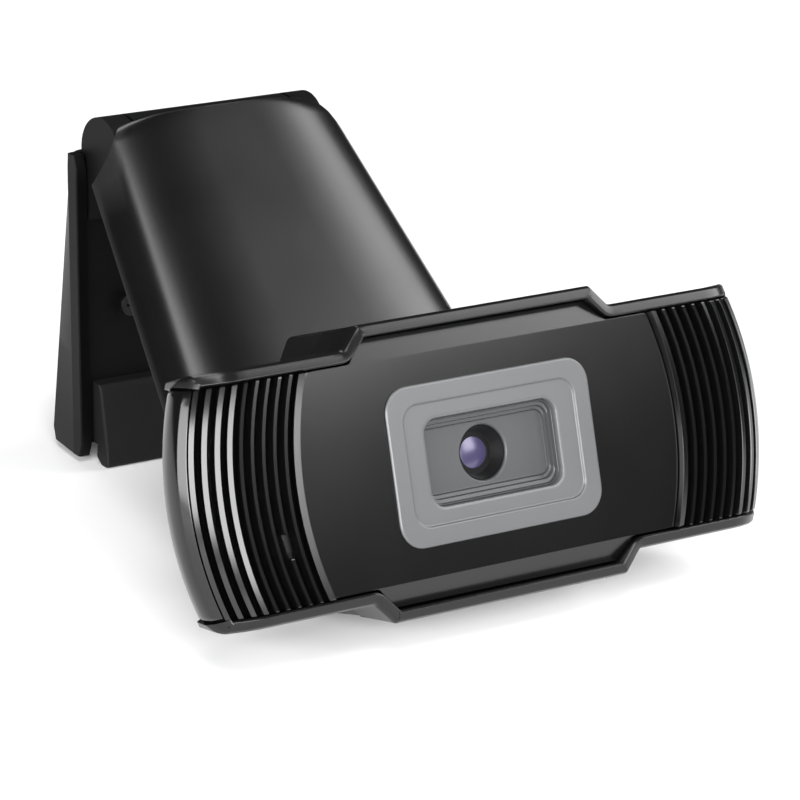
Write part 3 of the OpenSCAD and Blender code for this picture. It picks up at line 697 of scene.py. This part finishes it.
stations = []
for a in range(0, 91, 15):  # rear corners
    stations.append((ARM_END - 2.5 + 2.5 * math.cos(math.radians(a)), 2.5 * (1 - math.sin(math.radians(a)))))
stations += [(-6 - 5 * i, 0.0) for i in range(8)]
for a in range(0, 91, 10):  # front corners
    stations.append((8 - ARM_LEN - 8 * math.sin(math.radians(a)), 8 * (1 - math.cos(math.radians(a)))))
loops = []
for y, less in stations:
    loops.append(arm_loop(y, arm_half(y) - less, 1.5))
arm = piece("arm_cover", *loft(loops), ARM, ["arm_shell"], sharp=30)


def drum(r, x0, x1, n=64):
    """A cylinder along the hinge."""
    loop = [(r * math.cos(2 * math.pi * i / n), r * math.sin(2 * math.pi * i / n)) for i in range(n)]
    return loft([[(x0, y, z) for y, z in loop], [(x1, y, z) for y, z in loop]])


def block(x0, x1, y0, y1, z0, z1):
    corner = [(x, y, z) for z in (z0, z1) for x, y in ((x0, y0), (x1, y0), (x1, y1), (x0, y1))]
    return corner, [(3, 2, 1, 0), (4, 5, 6, 7), (0, 1, 5, 4), (1, 2, 6, 5), (2, 3, 7, 6), (3, 0, 4, 7)]


cut(arm, "hinge_cut", *drum(4.6, -30, 30), ARM)
cut(arm, "jaw_cut", *block(-11.1, 11.1, -52, -48, -1, 4.7), ARM)
arm.data.set_sharp_from_angle(angle=math.radians(30))
add_bevel(arm, 0.12)
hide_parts("arm_shell")

# ---- leg ----

LEG_HALF, LEG_LOW, WALL = 16.5, 0.8 - 39.0, 1.4


def rim_y(z):
    return 2.7 + (z + 1.1) * (-1.7 - 2.7) / (LEG_LOW + 1.1)


def spine_y(z):
    return 6.0 - 0.035 * z


zs = [-1.1 + (LEG_LOW + 1.1) * i / 24 for i in range(25)]


def leg_shape():
    """Leg shell as loops round its cross-section, one for each height."""
    loops = []
    for z in zs:
        top_left, low_left = zs[0] - z, z - zs[-1]
        end = min(top_left, low_left)
        r = rim_y(z)
        wide = spine_y(z) - r
        ease = 0.6 * (1 - math.sqrt(max(0, 1 - ((0.6 - end) / 0.6) ** 2))) if end < 0.6 else 0.0
        back = spine_y(z) - (0.7 * (1 - math.sqrt(max(0, 1 - ((0.9 - end) / 0.9) ** 2))) if end < 0.9 else 0.0)
        fold = r + min(2.0, wide * 0.55)
        front = r + ease
        outer = [
            (LEG_HALF - WALL, front), (LEG_HALF - WALL + 0.12, front), (LEG_HALF - 0.3, front),
            (LEG_HALF - 0.1, front + 0.06), (LEG_HALF, front + 0.22), (LEG_HALF, fold - 0.1),
            (LEG_HALF - 0.03, fold + 0.06), (LEG_HALF - 0.5, max(fold + 0.2, back - 1.3)),
            (LEG_HALF - 0.95, max(fold + 0.25, back - 0.6)), (LEG_HALF - 1.6, max(fold + 0.3, back - 0.18)),
            (LEG_HALF - 2.4, back),
        ]
        inner = [
            (LEG_HALF - WALL - 1.2, back - WALL), (LEG_HALF - WALL - 0.2, back - WALL - 0.6),
            (LEG_HALF - WALL, max(back - WALL - 1.2, r + 0.4)),
        ]
        loop = outer + [(-x, y) for x, y in reversed(outer)] + [(-x, y) for x, y in reversed(inner)] + inner
        loops.append([(x, y, z) for x, y in loop])
    return loops


leg = piece("leg_cover", *loft(leg_shape()), LEG, ["leg_shell"], sharp=25)
cut(leg, "knuckle_cut", *drum(4.45, -15.0, 15.0), LEG)
leg.data.set_sharp_from_angle(angle=math.radians(25))
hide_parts("leg_shell")

# ---- CAD pieces that keep their shape: finer edges and finishes ----

KEEP_BEVEL = {
    "leg_pad": 0.25, "jaw_pad": 0.25, "arm_liner": 0.15, "leg_liner": 0.12, "swivel_neck": 0.2, "tilt_bracket": 0.2, "cable_gland": 0.12,
    "tilt_pin": 0.12, "hinge_pin": 0.15, "hinge_washers": 0.04, "swivel_washer": 0.04, "swivel_screw": 0.08, "arm_screws": 0.06, "leg_screws": 0.06,
    "case_screws": 0.08, "bracket_screws": 0.08, "board_screws": 0.06, "lens_holder": 0.08, "circuit_board": 0.05, "controller_chip": 0.06,
    "wire_header": 0.05, "microphone": 0.1, "ir_filter": 0.03, "image_sensor": 0.03, "rear_lens": 0.03,
}
for name, width in KEEP_BEVEL.items():
    obj = frame["nodes"][name]
    obj.data.materials.clear()
    obj.data.materials.append(FINISH[slots[name]])
    weld = obj.modifiers.new("weld", "WELD")
    weld.merge_threshold = 1e-6
    add_bevel(obj, width)

# ---- floor, lights and camera ----

floor_mesh = bpy.data.meshes.new("floor")
floor_mesh.from_pydata([(-3, -3, 0), (3, -3, 0), (3, 3, 0), (-3, 3, 0)], [], [(0, 1, 2, 3)])
floor = bpy.data.objects.new("floor", floor_mesh)
bpy.context.scene.collection.objects.link(floor)
floor_mesh.materials.append(surface("floor_white", (0.8, 0.8, 0.8), 0.7, 0.05, spec=0.1))


centre = Vector((0, 0, 0.022))


def softbox(name, direction, distance, width, height, radiance):
    """A soft light in that direction from the object, as bright as asked from every point of its face."""
    at = centre + Vector(direction).normalized() * distance
    data = bpy.data.lights.new(name, "AREA")
    data.energy = radiance * 4 * width * height
    data.size = width
    data.shape = "RECTANGLE"
    data.size_y = height
    obj = bpy.data.objects.new(name, data)
    obj.location = at
    obj.rotation_euler = (centre - at).to_track_quat("-Z", "Y").to_euler()
    bpy.context.scene.collection.objects.link(obj)


softbox("front_left", (-0.5, -0.84, 0.29), 0.75, 1.0, 0.32, 12.0)
softbox("left", (-0.97, -0.25, 0.24), 0.6, 0.3, 0.26, 7.5)
softbox("top_left", (-0.3, -0.36, 0.88), 0.7, 0.34, 0.34, 6.0)
softbox("right_top", (0.8, -0.25, 0.54), 0.7, 0.5, 0.5, 4.6)
softbox("fill", (0.4, -0.8, 0.44), 0.32, 0.12, 0.12, 6.5)
softbox("rear", (0.1, 0.6, 0.85), 0.8, 0.3, 0.3, 3.0)

world = bpy.data.worlds.new("studio")
world.use_nodes = True
world.node_tree.nodes["Background"].inputs["Color"].default_value = (0.97, 0.98, 1.0, 1)
world.node_tree.nodes["Background"].inputs["Strength"].default_value = 0.07
bpy.context.scene.world = world
bpy.context.scene.view_settings.view_transform = "Standard"

cam_data = bpy.data.cameras.new("camera")
cam_data.lens = 197.5
cam_data.sensor_width = 36
cam = bpy.data.objects.new("camera", cam_data)
eye = tilt_at + Vector((-0.28113, -0.38271, 0.17603))
look = Vector((0.27309, 0.36979, -0.17058)).normalized()
up = Vector((0.1498, 0.3208, 0.9353))
right = look.cross(up).normalized()
up = right.cross(look)
cam.matrix_world = Matrix((
    (right[0], up[0], -look[0], eye[0]), (right[1], up[1], -look[1], eye[1]), (right[2], up[2], -look[2], eye[2]), (0, 0, 0, 1)))
cam_data.clip_start = 0.01
bpy.context.scene.collection.objects.link(cam)
bpy.context.scene.camera = cam
